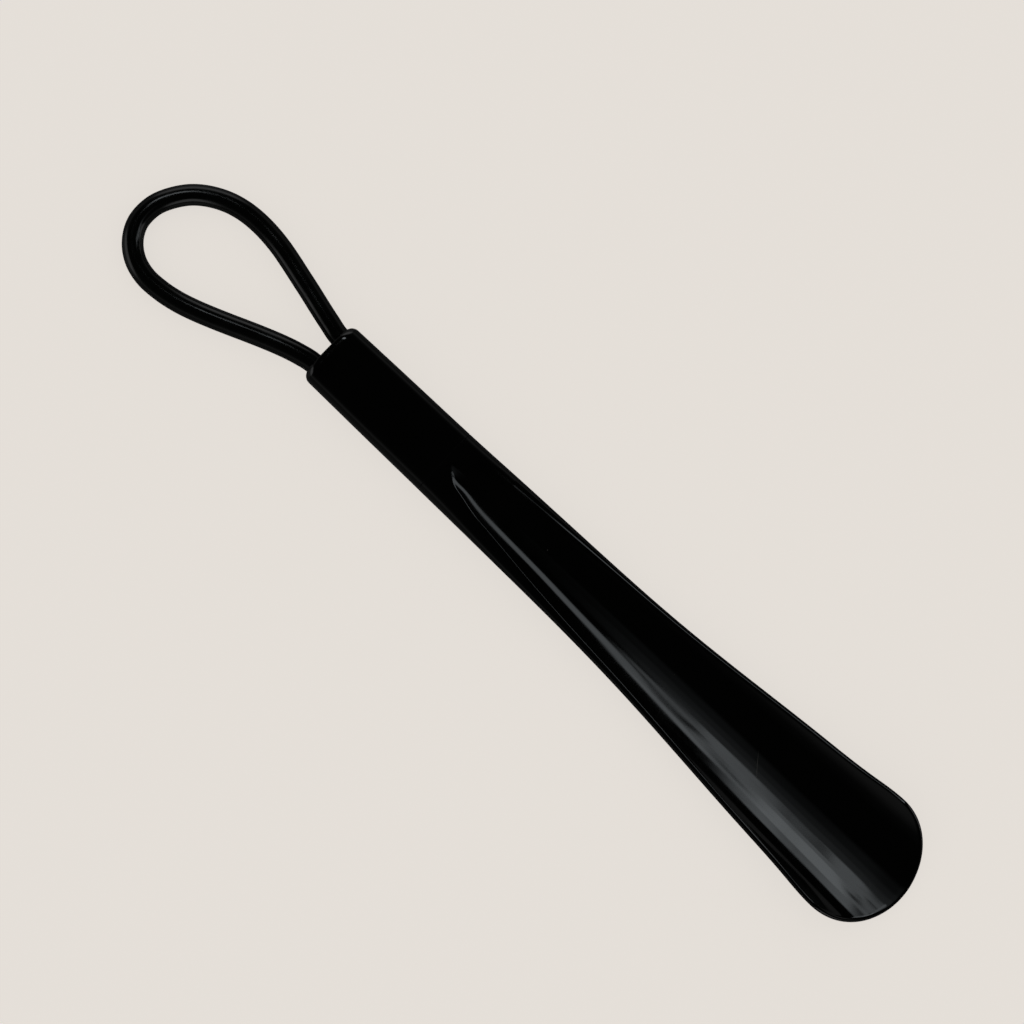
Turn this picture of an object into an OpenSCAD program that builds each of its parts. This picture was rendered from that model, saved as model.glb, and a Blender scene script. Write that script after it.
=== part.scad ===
// Long shoehorn with a soft hanging loop.
// The horn lies on its back: the heel trough faces up (+Z), the blade's tip points along +X and the loop
// leaves the handle's end face towards -X. The origin is under the middle of the horn, at the surface under it.

/* [Horn] */
// Length of the horn from the handle's end face to the blade's tip
horn_length = 269; // [260:1:280]
// Half the width of the handle at its end face
handle_half_width = 12.1; // [12:0.1:14]
// Half the width of the blade where it is widest
blade_half_width = 23.9; // [22:0.1:26]
// Length of the rounded tip, from the widest place to the very end
tip_length = 23; // [18:1:26]
// Height of the handle
handle_height = 12.4; // [12.4:0.1:14]
// Thickness of the blade's floor at its tip
tip_thickness = 1.5; // [1.2:0.1:2]

/* [Handle] */
// Length of the handle cover, from the end face to its front edge
cover_length = 54.5; // [50:0.5:56]
// Corner radius of the handle's end, seen from above
end_corner = 3; // [2:0.5:4]
// Height of the plane where the cover meets the horn
parting_height = 6.2; // [6:0.1:6.6]
// Thickness of the handle's floor and roof over the hollow
shell_wall = 2.2; // [1.8:0.1:2.6]
// Length of the solid end of the handle that grips the cord
grip_block = 12; // [10:1:14]
// Radius of the pegs that hold the cover
peg_radius = 1.4; // [1.2:0.1:1.6]

/* [Loop cord] */
// Diameter of the cord
cord_diameter = 7.4; // [7:0.1:7.4]
// Distance between the two cord holes, centre to centre
cord_spacing = 12.6; // [12.4:0.1:12.8]
// Length of each cord end that is hidden in the handle
cord_hidden = 24; // [22:1:26]
// Length of each crimped cord stop
stop_length = 7; // [5:1:8]
// Outer diameter of each crimped cord stop
stop_diameter = 8.8; // [8.6:0.1:9]

/* [Hidden] */
end_x = -horn_length / 2;
widest = horn_length - tip_length;
cord_half_spacing = cord_spacing / 2;
fit_gap = 0.1;
slip = 0.2;
crimp = 0.1;
overlap = 1;
foot_trim = 2;
arc_facets = 48;
peg_facets = 24;
hollow_half = cord_half_spacing + cord_diameter / 2 + slip;
hollow_end = 49;
boss_radius = 2.6;
peg_length = 3;
// Pegs of the cover, as [distance from the end face, across]
PEGS = [[6, 0], [32, 5], [32, -5], [44, 0]];

// The section changes smoothly between these stations.
// Each row: distance from the end face, half width, height of the underside's middle, height of the rim.
BODY = [
    [0, handle_half_width, -0.5, handle_height],
    [30, handle_half_width + 0.4, -0.5, handle_height],
    [56, handle_half_width + 0.7, 0.4, handle_height],
    [76, handle_half_width + 1.1, 2.5, 12],
    [96, handle_half_width + 1.5, 3.6, 11.3],
    [120, handle_half_width + 2, 3.8, 10.5],
    [150, handle_half_width + 3.3, 2.8, 9.7],
    [180, handle_half_width + 5.6, 1.3, 9.3],
    [210, handle_half_width + 8.4, 0.2, 10],
    [widest - 8, blade_half_width - 0.8, 0.1, 11.6],
    [widest, blade_half_width, 0.4, 12.1],
    [horn_length, blade_half_width, 2.4, 13.6]
];
// Each row: distance from the end face, width of the rim, trough radius, height of the rim's outer rounding.
RIM = [
    [0, 6.1, 15, 6.2],
    [56, 6.6, 15, 6.2],
    [76, 6.1, 15, 4.6],
    [96, 4.5, 16.5, 3.4],
    [120, 2.5, 19.5, 2.4],
    [150, 2, 24, 2],
    [180, 1.7, 25.8, 1.8],
    [210, 1.5, 27.7, 1.7],
    [widest, 1.3, 30, 1.6],
    [horn_length, 1.2, 32, 1.6]
];
scoop_start = 57;
scoop_length = 20;
scoop_run = 3;
edge_round = 2.3;
underside_round = 2.3;
tip_power = 2.0;
tip_flat = 1.6;
thinnest_share = 0.6;
least_trough_share = 0.35;
boxy_until = 56;
slender_from = 120;

// Stations of the loft: close together at the end face, at the scoop and round the tip
END_STATIONS = [0, 0.25, 1, 2, end_corner];
NECK_STATIONS = [28, 54.5, 56, 58, 60, 63, 67, 72, 77];
BLADE_STATIONS = [for (u = [86 : 10 : 236]) u];
TIP_STATIONS = [for (a = [0 : 9 : 81]) widest + tip_length * pow(sin(a), 2 / tip_power)];
STATIONS = concat(END_STATIONS, NECK_STATIONS, BLADE_STATIONS, TIP_STATIONS, [horn_length]);

// Points across the section
TROUGH_SHARES = [for (i = [6 : -1 : -6]) i / 6];
RIM_ANGLES = [90, 66, 42, 20];
FLOOR_SHARES = [for (a = [-78 : 12 : 78]) sin(a)];

// Cord route from the left-hand hole (+Y) round to the right-hand one, as [beyond the end face, across, up]
ROUTE = [
    [0, cord_half_spacing, parting_height], [6, 7.5, 6], [12, 9, 5.7], [18, 10.6, 5.3], [24, 12.1, 5],
    [30, 13.6, 4.7], [36, 14.9, 4.4], [42, 15.7, 4.1], [48, 15.9, 3.9], [54, 15.3, 3.8],
    [60, 13.6, 3.7], [66, 10.4, 3.7], [71, 6, 3.7], [75, -0.2, 3.7], [76.8, -6, 3.7], [76.4, -12.6, 3.7],
    [73.2, -18.3, 3.7], [68, -22.3, 3.7], [61.6, -24.1, 3.7], [54.6, -23.9, 3.8], [48, -22.7, 3.9],
    [42, -20.9, 4.1], [36, -18.7, 4.4], [30, -16.3, 4.7], [24, -13.8, 5],
    [18, -11.4, 5.3], [12, -9.2, 5.7], [6, -7.4, 6], [0, -cord_half_spacing, parting_height]
];
root_spans = 4;
cord_sides = 12;
rings_per_span = 2;

// Value of a column of a table at distance u, on a smooth curve through its rows
function row_at(table, u, k = 0) =
    k >= len(table) - 2 || u < table[k + 1][0] ? k : row_at(table, u, k + 1);
function slope_at(table, k, col) =
    let (a = max(k - 1, 0), b = min(k + 1, len(table) - 1))
    (table[b][col] - table[a][col]) / (table[b][0] - table[a][0]);
function along(table, u, col) =
    let (
        k = row_at(table, u),
        span = table[k + 1][0] - table[k][0],
        s = (u - table[k][0]) / span,
        rise = table[k + 1][col] - table[k][col],
        m0 = slope_at(table, k, col) * span,
        m1 = slope_at(table, k + 1, col) * span
    )
    table[k][col] + s * (m0 + s * (3 * rise - 2 * m0 - m1 + s * (m0 + m1 - 2 * rise)));

function end_inset(u) = u < end_corner ? end_corner - sqrt(pow(end_corner, 2) - pow(end_corner - u, 2)) : 0;
function half_width(u) =
    u <= widest ? along(BODY, u, 1) - end_inset(u)
    : max(tip_flat, blade_half_width * sqrt(1 - pow(min(1, (u - widest) / tip_length), tip_power)));
function underside(u) = along(BODY, u, 2) + end_inset(u) / end_corner;
function rim_height(u) = along(BODY, u, 3) - end_inset(u) / end_corner;
function full_rim(u) = along(RIM, u, 1);
function trough_radius(u) = along(RIM, u, 2);
function rim_inner(u) = max(half_width(u) - full_rim(u), least_trough_share * half_width(u));
function sagitta(r, y) = r - sqrt(r * r - y * y);
// Half width that the trough would have with no rounded tip
function open_half(u) = along(BODY, u, 1) - full_rim(u);
function scoop_share(u) =
    u > scoop_start + scoop_length ? 1 : 1 - pow(1 - (u - scoop_start) / scoop_length, scoop_run);
function trough_floor(u) = rim_height(u) - sagitta(trough_radius(u), open_half(u)) * scoop_share(u);
function trough_at(u, y) = min(rim_height(u), trough_floor(u) + sagitta(trough_radius(u), y));
function rim_drop(u) = min(along(RIM, u, 3), thinnest_share * (trough_at(u, rim_inner(u)) - underside(u)));
function side_height(u) = trough_at(u, rim_inner(u)) - rim_drop(u);
// The underside is boxy at the handle and follows the trough along the blade
function boxy(u) =
    u < boxy_until ? 1
    : u > slender_from ? 0
    : (1 + cos(180 * (u - boxy_until) / (slender_from - boxy_until))) / 2;
function underside_rise(u, q) =
    boxy(u) * (1 - pow(1 - pow(q, underside_round + 1), 1 / (underside_round + 1)))
    + (1 - boxy(u)) * pow(q, underside_round);

// Rim of one side, from its widest point up to the trough's edge, as [across, up] with across positive
function rim_round(u) =
    let (w = half_width(u), a = rim_inner(u), top = trough_at(u, a), d = rim_drop(u))
    [for (t = RIM_ANGLES) [a + (w - a) * pow(sin(t), 2 / edge_round), top - d * (1 - pow(cos(t), 2 / edge_round))]];
function section(u) =
    let (rim = rim_round(u), w = half_width(u), a = rim_inner(u), side = side_height(u), low = underside(u))
    concat(
        rim,
        [for (q = TROUGH_SHARES) [a * q, trough_at(u, a * q)]],
        [for (i = [len(rim) - 1 : -1 : 0]) [-rim[i][0], rim[i][1]]],
        [for (q = FLOOR_SHARES) [w * q, low + (side - low) * underside_rise(u, abs(q))]]
    );

// Skin over a list of rings that all have the same number of points, with flat ends
module skin(rings) {
    n = len(rings[0]);
    last = len(rings) - 1;
    polyhedron(
        points = [for (r = rings) each r],
        faces = concat(
            [[for (i = [0 : n - 1]) i]],
            [for (k = [0 : last - 1]) for (i = [0 : n - 1])
                let (a = k * n + i, b = k * n + (i + 1) % n) each [[a, a + n, b + n], [a, b + n, b]]],
            [[for (i = [n - 1 : -1 : 0]) last * n + i]]
        )
    );
}

// Outer shape of the whole horn, handle included, cut flat where the handle rests
module horn_envelope() {
    difference() {
        skin([for (u = STATIONS) [for (p = section(u)) [end_x + u, p[0], p[1]]]]);
        translate([end_x - overlap, -blade_half_width, -foot_trim])
            cube([scoop_start, 2 * blade_half_width, foot_trim]);
    }
}

// Everything above the plane where the cover meets the horn, back to the cover's front edge
module cover_space() {
    translate([end_x - overlap, -blade_half_width, parting_height])
        cube([cover_length + overlap, 2 * blade_half_width, handle_height]);
}

module along_x(u, y, length, r) {
    translate([end_x + u, y, parting_height]) rotate([0, 90, 0])
        cylinder(h = length, r = r, $fn = arc_facets);
}

// The hollow of the handle: two cord channels, a pocket for each stop, and the open middle
module handle_hollow() {
    for (side = [-1, 1]) {
        along_x(-overlap, side * cord_half_spacing, grip_block + 2 * overlap, cord_diameter / 2 + fit_gap);
        along_x(grip_block, side * cord_half_spacing, stop_length + overlap, stop_diameter / 2 + slip);
    }
    translate([end_x + grip_block, -hollow_half, shell_wall])
        cube([hollow_end - grip_block, 2 * hollow_half, handle_height - 2 * shell_wall]);
}

module upright(place, z0, z1, r) {
    translate([end_x + place[0], place[1], z0]) cylinder(h = z1 - z0, r = r, $fn = peg_facets);
}

module horn() {
    color([0.03, 0.032, 0.03])
    difference() {
        union() {
            difference() {
                horn_envelope();
                cover_space();
                handle_hollow();
            }
            for (p = PEGS) if (p[0] > grip_block)
                upright(p, shell_wall - overlap, parting_height, boss_radius);
        }
        for (p = PEGS)
            upright(p, parting_height - peg_length - slip, parting_height + overlap, peg_radius + fit_gap);
    }
}

module handle_cover() {
    color([0.035, 0.036, 0.035])
    union() {
        difference() {
            intersection() {
                horn_envelope();
                cover_space();
            }
            handle_hollow();
        }
        for (p = PEGS) {
            upright(p, parting_height - peg_length, parting_height + overlap, peg_radius);
            if (p[0] > grip_block)
                upright(p, parting_height, handle_height - shell_wall + overlap / 2, boss_radius);
        }
    }
}

// Crimped sleeve on a cord end, just behind the solid end of the handle
module cord_stop(side) {
    difference() {
        along_x(grip_block + slip, side * cord_half_spacing, stop_length, stop_diameter / 2);
        along_x(grip_block, side * cord_half_spacing, stop_length + overlap, cord_diameter / 2 - crimp);
    }
}

module cord_stop_left() {
    color("silver") cord_stop(1);
}

module cord_stop_right() {
    color("silver") cord_stop(-1);
}

// The route as a smooth curve: a point every span / rings_per_span
function on_route(k, s) =
    let (
        p = ROUTE[k], q = ROUTE[k + 1],
        m0 = k == 0 ? [q[0] - p[0], 0, 0] : (q - ROUTE[k - 1]) / 2,
        m1 = k == len(ROUTE) - 2 ? [q[0] - p[0], 0, 0] : (ROUTE[k + 2] - p) / 2
    )
    p + s * (m0 + s * (3 * (q - p) - 2 * m0 - m1 + s * (m0 + m1 - 2 * (q - p))));
CORD = concat(
    [for (k = [0 : len(ROUTE) - 2]) for (i = [0 : rings_per_span - 1]) on_route(k, i / rings_per_span)],
    [ROUTE[len(ROUTE) - 1]]
);
function cord_tangent(i) =
    i == 0 ? [1, 0, 0] : i == len(CORD) - 1 ? [-1, 0, 0]
    : (CORD[i + 1] - CORD[i - 1]) / norm(CORD[i + 1] - CORD[i - 1]);
function cord_ring(i) =
    let (t = cord_tangent(i), side = cross(t, [0, 0, 1]) / norm(cross(t, [0, 0, 1])), up = cross(side, t))
    [for (j = [0 : cord_sides - 1]) let (a = 360 * j / cord_sides)
        let (p = CORD[i] + cord_diameter / 2 * (cos(a) * side + sin(a) * up)) [end_x - p[0], p[1], p[2]]];

module cord_stretch(first, last) {
    skin([for (i = [first : last]) cord_ring(i)]);
}

module loop_ends() {
    color([0.02, 0.02, 0.02])
    for (side = [-1, 1]) along_x(0, side * cord_half_spacing, cord_hidden, cord_diameter / 2);
}

module loop_roots() {
    rings = root_spans * rings_per_span;
    color([0.02, 0.02, 0.02]) {
        cord_stretch(0, rings);
        cord_stretch(len(CORD) - 1 - rings, len(CORD) - 1);
    }
}

module loop_bow() {
    rings = root_spans * rings_per_span;
    color([0.02, 0.02, 0.02]) cord_stretch(rings, len(CORD) - 1 - rings);
}

horn();
handle_cover();
cord_stop_left();
cord_stop_right();
loop_ends();
loop_roots();
loop_bow();
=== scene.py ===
"""Long shoehorn with a soft hanging loop: the finished look of every piece.

The horn lies on its back: the heel trough faces up (+Z), the blade's tip points along +X and the loop
leaves the handle's end face towards -X. Sizes in the classes are in millimetres, as a maker writes
them, and go to metres where a mesh is placed.
"""

import logging
import math
from dataclasses import dataclass, field
from enum import Enum

import bpy
from mathutils import Matrix, Vector


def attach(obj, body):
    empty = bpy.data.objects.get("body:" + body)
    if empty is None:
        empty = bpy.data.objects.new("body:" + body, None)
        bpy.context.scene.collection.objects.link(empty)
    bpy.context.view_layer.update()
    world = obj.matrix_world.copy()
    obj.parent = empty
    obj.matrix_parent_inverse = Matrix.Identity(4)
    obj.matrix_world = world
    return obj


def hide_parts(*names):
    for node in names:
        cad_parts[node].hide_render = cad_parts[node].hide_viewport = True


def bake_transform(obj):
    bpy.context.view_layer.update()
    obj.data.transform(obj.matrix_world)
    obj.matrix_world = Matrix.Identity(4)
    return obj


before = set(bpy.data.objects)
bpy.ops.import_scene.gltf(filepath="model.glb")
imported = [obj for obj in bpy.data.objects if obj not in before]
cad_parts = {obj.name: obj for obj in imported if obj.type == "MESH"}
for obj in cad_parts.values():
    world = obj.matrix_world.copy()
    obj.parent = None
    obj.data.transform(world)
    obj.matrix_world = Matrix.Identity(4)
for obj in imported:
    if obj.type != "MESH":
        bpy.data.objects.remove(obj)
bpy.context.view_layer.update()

MM = 0.001
SPLITS = 16  # parts that a long bar's edges are cut into, in each round
SECTIONS = SPLITS**2  # stretches between the stations of the horn and of the cord
log = logging.getLogger("shoehorn")

Point2 = tuple[float, float]
Point3 = tuple[float, float, float]
Colour = tuple[float, float, float, float]
Row = tuple[float, ...]
Place = float | Vector


class Side(Enum):
    """Side of the handle, seen from the end face towards the tip."""

    LEFT = 1
    RIGHT = -1


class Cut(Enum):
    """What a cutting block does to the piece it meets."""

    AWAY = "DIFFERENCE"
    KEEP = "INTERSECT"
    JOIN = "UNION"


# ---------------------------------------------------------------- shaping helpers


def deselect_all() -> None:
    """Leave object mode with nothing selected and nothing active."""
    if bpy.context.object and bpy.context.object.mode != "OBJECT":
        bpy.ops.object.mode_set(mode="OBJECT")
    bpy.ops.object.select_all(action="DESELECT")


def make_active(piece: bpy.types.Object) -> None:
    """Select one piece alone and make it the active one.

    Args:
        piece: The object that the next operators work on.
    """
    deselect_all()
    piece.select_set(True)
    bpy.context.view_layer.objects.active = piece


def settle(piece: bpy.types.Object, name: str) -> bpy.types.Object:
    """Name a fresh piece and move its place into its mesh.

    Args:
        piece: The object to settle at the origin.
        name: Its name, which its mesh takes too.

    Returns:
        The same object.
    """
    make_active(piece)
    bpy.ops.object.transform_apply(location=True, rotation=True, scale=True)
    piece.name = name
    piece.data.name = name
    return piece


def block(name: str, low: Vector, high: Vector) -> bpy.types.Object:
    """Add a cutting block between two corners.

    Args:
        name: The block's name.
        low: Lowest corner, in millimetres.
        high: Highest corner, in millimetres.

    Returns:
        The block, in metres.
    """
    deselect_all()
    bpy.ops.mesh.primitive_cube_add(size=1, location=(low + high) / 2 * MM)
    cube = bpy.context.object
    cube.scale = (high - low) * MM
    return settle(cube, name)


def rod(name: str, start: Vector, end: Vector, radii: Point2, facets: int = 48) -> bpy.types.Object:
    """Add a round cutting rod or cone between two points.

    Args:
        name: The rod's name.
        start: Middle of the first end, in millimetres.
        end: Middle of the second end, in millimetres.
        radii: Radius at the start and at the end, in millimetres.
        facets: Number of sides.

    Returns:
        The rod, in metres.
    """
    deselect_all()
    run = end - start
    bpy.ops.mesh.primitive_cone_add(
        vertices=facets,
        radius1=radii[0] * MM,
        radius2=radii[1] * MM,
        depth=run.length * MM,
        location=(start + end) / 2 * MM,
        rotation=run.to_track_quat("Z", "Y").to_euler(),
    )
    return settle(bpy.context.object, name)


def combine(piece: bpy.types.Object, tool: bpy.types.Object, cut: Cut) -> None:
    """Cut, keep or join one solid with another, and use the tool up.

    Args:
        piece: The solid that stays.
        tool: The solid that is used up.
        cut: What the tool does.
    """
    make_active(piece)
    step = piece.modifiers.new(cut.name.lower(), "BOOLEAN")
    step.operation = cut.value
    step.object = tool
    step.solver = "EXACT"
    bpy.ops.object.modifier_apply(modifier=step.name)
    bpy.data.objects.remove(tool, do_unlink=True)


def smooth_faces(piece: bpy.types.Object, degrees: float = 32) -> None:
    """Shade a piece smooth, with its edges sharper than an angle kept crisp.

    Args:
        piece: The piece to shade.
        degrees: Angle above which an edge stays crisp.
    """
    make_active(piece)
    bpy.ops.object.shade_smooth_by_angle(angle=math.radians(degrees))


def bar_along(name: str, sides: int, rounds: int) -> bpy.types.Object:
    """Add a closed bar along X with many even stations, ready to be laid on a form.

    Args:
        name: The bar's name.
        sides: Points round each station.
        rounds: How many times over the long edges are cut into SPLITS parts.

    Returns:
        The bar, 1 m long and 1 m across, from x = 0 to x = 1.
    """
    deselect_all()
    bpy.ops.mesh.primitive_cylinder_add(
        vertices=sides,
        radius=0.5,
        depth=1,
        end_fill_type="NGON",
        location=(0.5, 0, 0),
        rotation=(0, math.pi / 2, 0),
    )
    bar = settle(bpy.context.object, name)
    for _ in range(rounds):
        deselect_all()
        bpy.context.view_layer.objects.active = bar
        bpy.ops.object.mode_set(mode="EDIT")
        bpy.ops.mesh.select_mode(type="EDGE")
        bpy.ops.mesh.select_all(action="DESELECT")
        bpy.ops.object.mode_set(mode="OBJECT")
        points = bar.data.vertices
        for edge in bar.data.edges:
            first, second = (points[i].co for i in edge.vertices)
            edge.select = abs(first.x - second.x) > 1e-5
        bpy.ops.object.mode_set(mode="EDIT")
        bpy.ops.mesh.subdivide(number_cuts=SPLITS - 1)
        bpy.ops.object.mode_set(mode="OBJECT")
    return bar


def lay_on(bar: bpy.types.Object, rings: list[list[Vector]]) -> None:
    """Move every point of a bar to its place on a list of rings.

    Args:
        bar: A bar from bar_along, with as many stations as there are rings.
        rings: For each station the ring's points, anticlockwise seen from +X, in millimetres.
    """
    sides = len(rings[0])
    last = len(rings) - 1
    for point in bar.data.vertices:
        station = round(point.co.x * last)
        turn = math.atan2(point.co.z, point.co.y) / (2 * math.pi)
        point.co = rings[station][round(turn * sides) % sides] * MM
    bar.data.update()


def sag_of(radius: float, across: float) -> float:
    """Return how far an arc has risen at a distance across from its lowest point."""
    return radius - math.sqrt(max(radius * radius - across * across, 0.0))


def end_rounding(radius: float, away: float) -> float:
    """Return how far a rounded edge stands in at a distance from its end."""
    return sag_of(radius, radius - away) if away < radius else 0.0


def rounded_step(share: float, power: float) -> float:
    """Return the drop of a rounded edge, from 1 at its outer end (0) to 0 at its inner end (1)."""
    inner = min(max(share, 0.0), 1.0)
    return 1 - (1 - (1 - inner) ** power) ** (1 / power)


def soft_least(a: float, b: float, blend: float) -> float:
    """Return the lesser of two heights, with the corner between them rounded over a blend height."""
    near = max(blend - abs(a - b), 0.0)
    return min(a, b) - near * near / (4 * blend)


def ease(low: float, high: float, u: float) -> float:
    """Return 0 before low, 1 after high and a smooth rise between them."""
    s = min(max((u - low) / (high - low), 0.0), 1.0)
    return s * s * (3 - 2 * s)


def curve_between(start: Place, end: Place, leave: Place, arrive: Place, s: float) -> Place:
    """Return the place at a share of a curve that leaves and arrives in set directions.

    Args:
        start: First end.
        end: Second end.
        leave: Direction and speed at the first end.
        arrive: Direction and speed at the second end.
        s: Share of the way, 0 to 1.

    Returns:
        The place, a number or a vector as the ends are.
    """
    rise = end - start
    return start + s * (leave + s * (3 * rise - 2 * leave - arrive + s * (leave + arrive - 2 * rise)))


def give_finish(
    piece: bpy.types.Object, material: bpy.types.Material, slot: str, body: str | None, *nodes: str
) -> None:
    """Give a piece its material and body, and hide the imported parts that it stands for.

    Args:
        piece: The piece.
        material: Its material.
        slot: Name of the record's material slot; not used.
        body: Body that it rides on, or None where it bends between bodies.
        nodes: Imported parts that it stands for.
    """
    piece.data.materials.clear()
    piece.data.materials.append(material)
    if body:
        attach(piece, body)
    if nodes:
        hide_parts(*nodes)


# ---------------------------------------------------------------- the horn's form


# Turns round the rims' and the underside's rounding, and shares of the trough, where a section has points.
RIM_TURNS = (90, 89.2, 86, 81, 75, 68, 61, 54, 47, 40, 33, 26, 19, 13, 8, 4)
TROUGH_SHARES = tuple(1 - (i / 26) ** 1.25 for i in range(26))
UNDER_TURNS = (89.88, 88, 85, 81, 76, 70, 63, 55, 46, 37, 28, 20, 13, 7, 3)


@dataclass
class SmoothTable:
    """Rows of numbers against distance along the horn, joined by curves that have no kink.

    Attributes:
        rows: Each row is a distance followed by its values.
        slopes: Slope of each value at each row, worked out from the rows.
    """

    rows: tuple[Row, ...]
    slopes: list[list[float]] = field(init=False)

    def __post_init__(self) -> None:
        """Work out the slopes of every column."""
        self.slopes = [self._column_slopes(c) for c in range(1, len(self.rows[0]))]

    def _column_slopes(self, column: int) -> list[float]:
        """Solve for the slopes that leave no step in the curvature, and keep level stretches level.

        Args:
            column: The column of the rows.

        Returns:
            One slope for each row.
        """
        at = [row[0] for row in self.rows]
        span = [b - a for a, b in zip(at, at[1:])]
        rise = [(b[column] - a[column]) / s for a, b, s in zip(self.rows, self.rows[1:], span)]
        ratio, value = [0.0], [rise[0]]
        for k in range(1, len(at) - 1):
            if rise[k - 1] * rise[k] == 0:
                ratio.append(0.0)
                value.append(0.0)
                continue
            pivot = 2 * (span[k - 1] + span[k]) - span[k] * ratio[-1]
            wanted = 3 * (span[k] * rise[k - 1] + span[k - 1] * rise[k])
            value.append((wanted - span[k] * value[-1]) / pivot)
            ratio.append(span[k - 1] / pivot)
        slopes = [rise[-1]]
        for k in range(len(at) - 2, -1, -1):
            slopes.append(value[k] - ratio[k] * slopes[-1])
        return slopes[::-1]

    def at(self, u: float, column: int) -> float:
        """Read a column at a distance along the horn.

        Args:
            u: Distance from the end face.
            column: The column, from 1.

        Returns:
            The value on the smooth curve.
        """
        k = 0
        while k < len(self.rows) - 2 and u >= self.rows[k + 1][0]:
            k += 1
        low, high = self.rows[k], self.rows[k + 1]
        span = high[0] - low[0]
        leave, arrive = (slope * span for slope in self.slopes[column - 1][k : k + 2])
        return curve_between(low[column], high[column], leave, arrive, (u - low[0]) / span)


@dataclass
class HornForm:
    """Outer form of the horn and handle, as sections across it, in millimetres.

    Attributes:
        length: Length of the horn.
        tip_length: Length of the rounded tip.
        tip_power: Fullness of the tip's outline.
        end_corner: Corner radius of the handle's end, seen from above.
        scoop_start: Distance from the end face to where the trough begins.
        scoop_length: Length over which the trough reaches its depth.
        edge_power: Fullness of the rims' rounding.
        parting: Height of the plane where the cover meets the horn.
        cover_length: Length of the handle cover.
        groove: Depth of the fine line along the joints.
        groove_reach: Half the width of that line across the handle.
        height: Height of the handle.
        opening: Distances between which the handle's top falls to the height of the rims.
        shallowest: Least radius that the trough's depth is worked out from.
        rim_limit: Most of the half width that the rim takes up.
        rim_round_limit: Most of the wall's height that the rim's rounding takes up.
        boxy_until: Distance up to which the underside is boxy.
        slender_from: Distance from which it follows the trough.
        tip_edge: Width of the rounding under the tip's edge.
        tip_edge_from: Where that rounding begins and is full, from the tip's beginning.
        edge_blend: Height over which the rims' inner corner is rounded.
        last_turn: How far round the tip's outline the last station stands, in degrees.
        body: Distance, half width and underside.
        rim: Distance, rim width and height of the rim's rounding.
        hollow: Distance, height of the trough's floor and radius of the trough.
    """

    length: float = 269.0
    tip_length: float = 23.0
    tip_power: float = 2.0
    end_corner: float = 3.0
    scoop_start: float = 57.0
    scoop_length: float = 20.0
    edge_power: float = 2.3
    parting: float = 6.2
    cover_length: float = 54.5
    groove: float = 0.16
    groove_reach: float = 0.17
    height: float = 12.4
    opening: Point2 = (54.0, 76.0)
    shallowest: float = 15.0
    rim_limit: float = 0.65
    rim_round_limit: float = 0.6
    boxy_until: float = 56.0
    slender_from: float = 120.0
    tip_edge: float = 1.3
    tip_edge_from: Point2 = (-12.0, 4.0)
    edge_blend: float = 0.18
    last_turn: float = 89.2
    body: SmoothTable = field(
        default_factory=lambda: SmoothTable(
            (
                (0, 12.1, -0.5),
                (30, 12.5, -0.5),
                (56, 12.8, 0.4),
                (76, 13.2, 2.5),
                (96, 13.6, 3.6),
                (120, 14.1, 3.8),
                (150, 15.4, 2.7),
                (180, 17.85, 1.3),
                (210, 20.6, 0.35),
                (232, 22.6, 0.1),
                (246, 23.9, 0.5),
                (269, 23.9, 2.3),
            )
        )
    )
    rim: SmoothTable = field(
        default_factory=lambda: SmoothTable(
            (
                (0, 6.1, 6.2),
                (56, 6.5, 6.2),
                (76, 6.1, 4.6),
                (96, 4.5, 3.4),
                (120, 2.8, 2.4),
                (150, 2.0, 2.0),
                (180, 1.7, 1.8),
                (210, 1.5, 1.7),
                (246, 1.3, 1.6),
                (269, 1.2, 1.5),
            )
        )
    )
    hollow: SmoothTable = field(
        default_factory=lambda: SmoothTable(
            (
                (50, 11.15, 3.0),
                (56, 11.1, 3.0),
                (58.8, 11.0, 5.0),
                (60.6, 10.93, 8.4),
                (66, 10.75, 10.5),
                (72, 10.45, 13.2),
                (78, 10.1, 15.3),
                (96, 8.7, 17.0),
                (120, 6.95, 20.0),
                (150, 5.2, 23.2),
                (180, 3.75, 25.6),
                (210, 2.6, 27.7),
                (232, 2.05, 29.2),
                (246, 2.15, 30.0),
                (258, 2.8, 30.8),
                (269, 3.9, 31.5),
            )
        )
    )

    @property
    def widest(self) -> float:
        """Distance from the end face to where the tip's rounding begins."""
        return self.length - self.tip_length

    @property
    def end_x(self) -> float:
        """Place of the end face along X."""
        return -self.length / 2

    def end_inset(self, u: float) -> float:
        """Return how far the rounded end corner stands in."""
        return end_rounding(self.end_corner, u)

    def tip_share(self, u: float) -> float:
        """Return the tip's outline term along the length, 0 where the tip begins and 1 at its end."""
        return min(max((u - self.widest) / self.tip_length, 0.0), 1.0) ** self.tip_power

    def half_width(self, u: float) -> float:
        """Return half the outline's width."""
        full = self.body.at(u, 1) - self.end_inset(u)
        return max(full * math.sqrt(1 - self.tip_share(u)), 0.02)

    def underside(self, u: float) -> float:
        """Return the height of the underside's middle."""
        return self.body.at(u, 2) + self.end_inset(u) / self.end_corner

    def rim_height(self, u: float) -> float:
        """Return the height of the rims, or of the handle's top.

        Args:
            u: Distance from the end face.

        Returns:
            The height above the surface that the horn lies on.
        """
        handle = self.height - self.end_inset(u) / self.end_corner
        share = ease(*self.opening, u)
        if share == 0:
            return handle
        return handle + share * (self.hollow.at(u, 1) + self.depth(u) - handle)

    def depth(self, u: float) -> float:
        """Return how far the trough's floor lies under the rims once the trough is fully open."""
        radius = max(self.hollow.at(u, 2), self.shallowest)
        return sag_of(radius, self.body.at(u, 1) - self.rim.at(u, 1))

    def inner(self, u: float) -> float:
        """Return the distance across to the rims' inner edge."""
        half = self.half_width(u)
        return max(half - self.rim.at(u, 1), (1 - self.rim_limit) * half)

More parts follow.
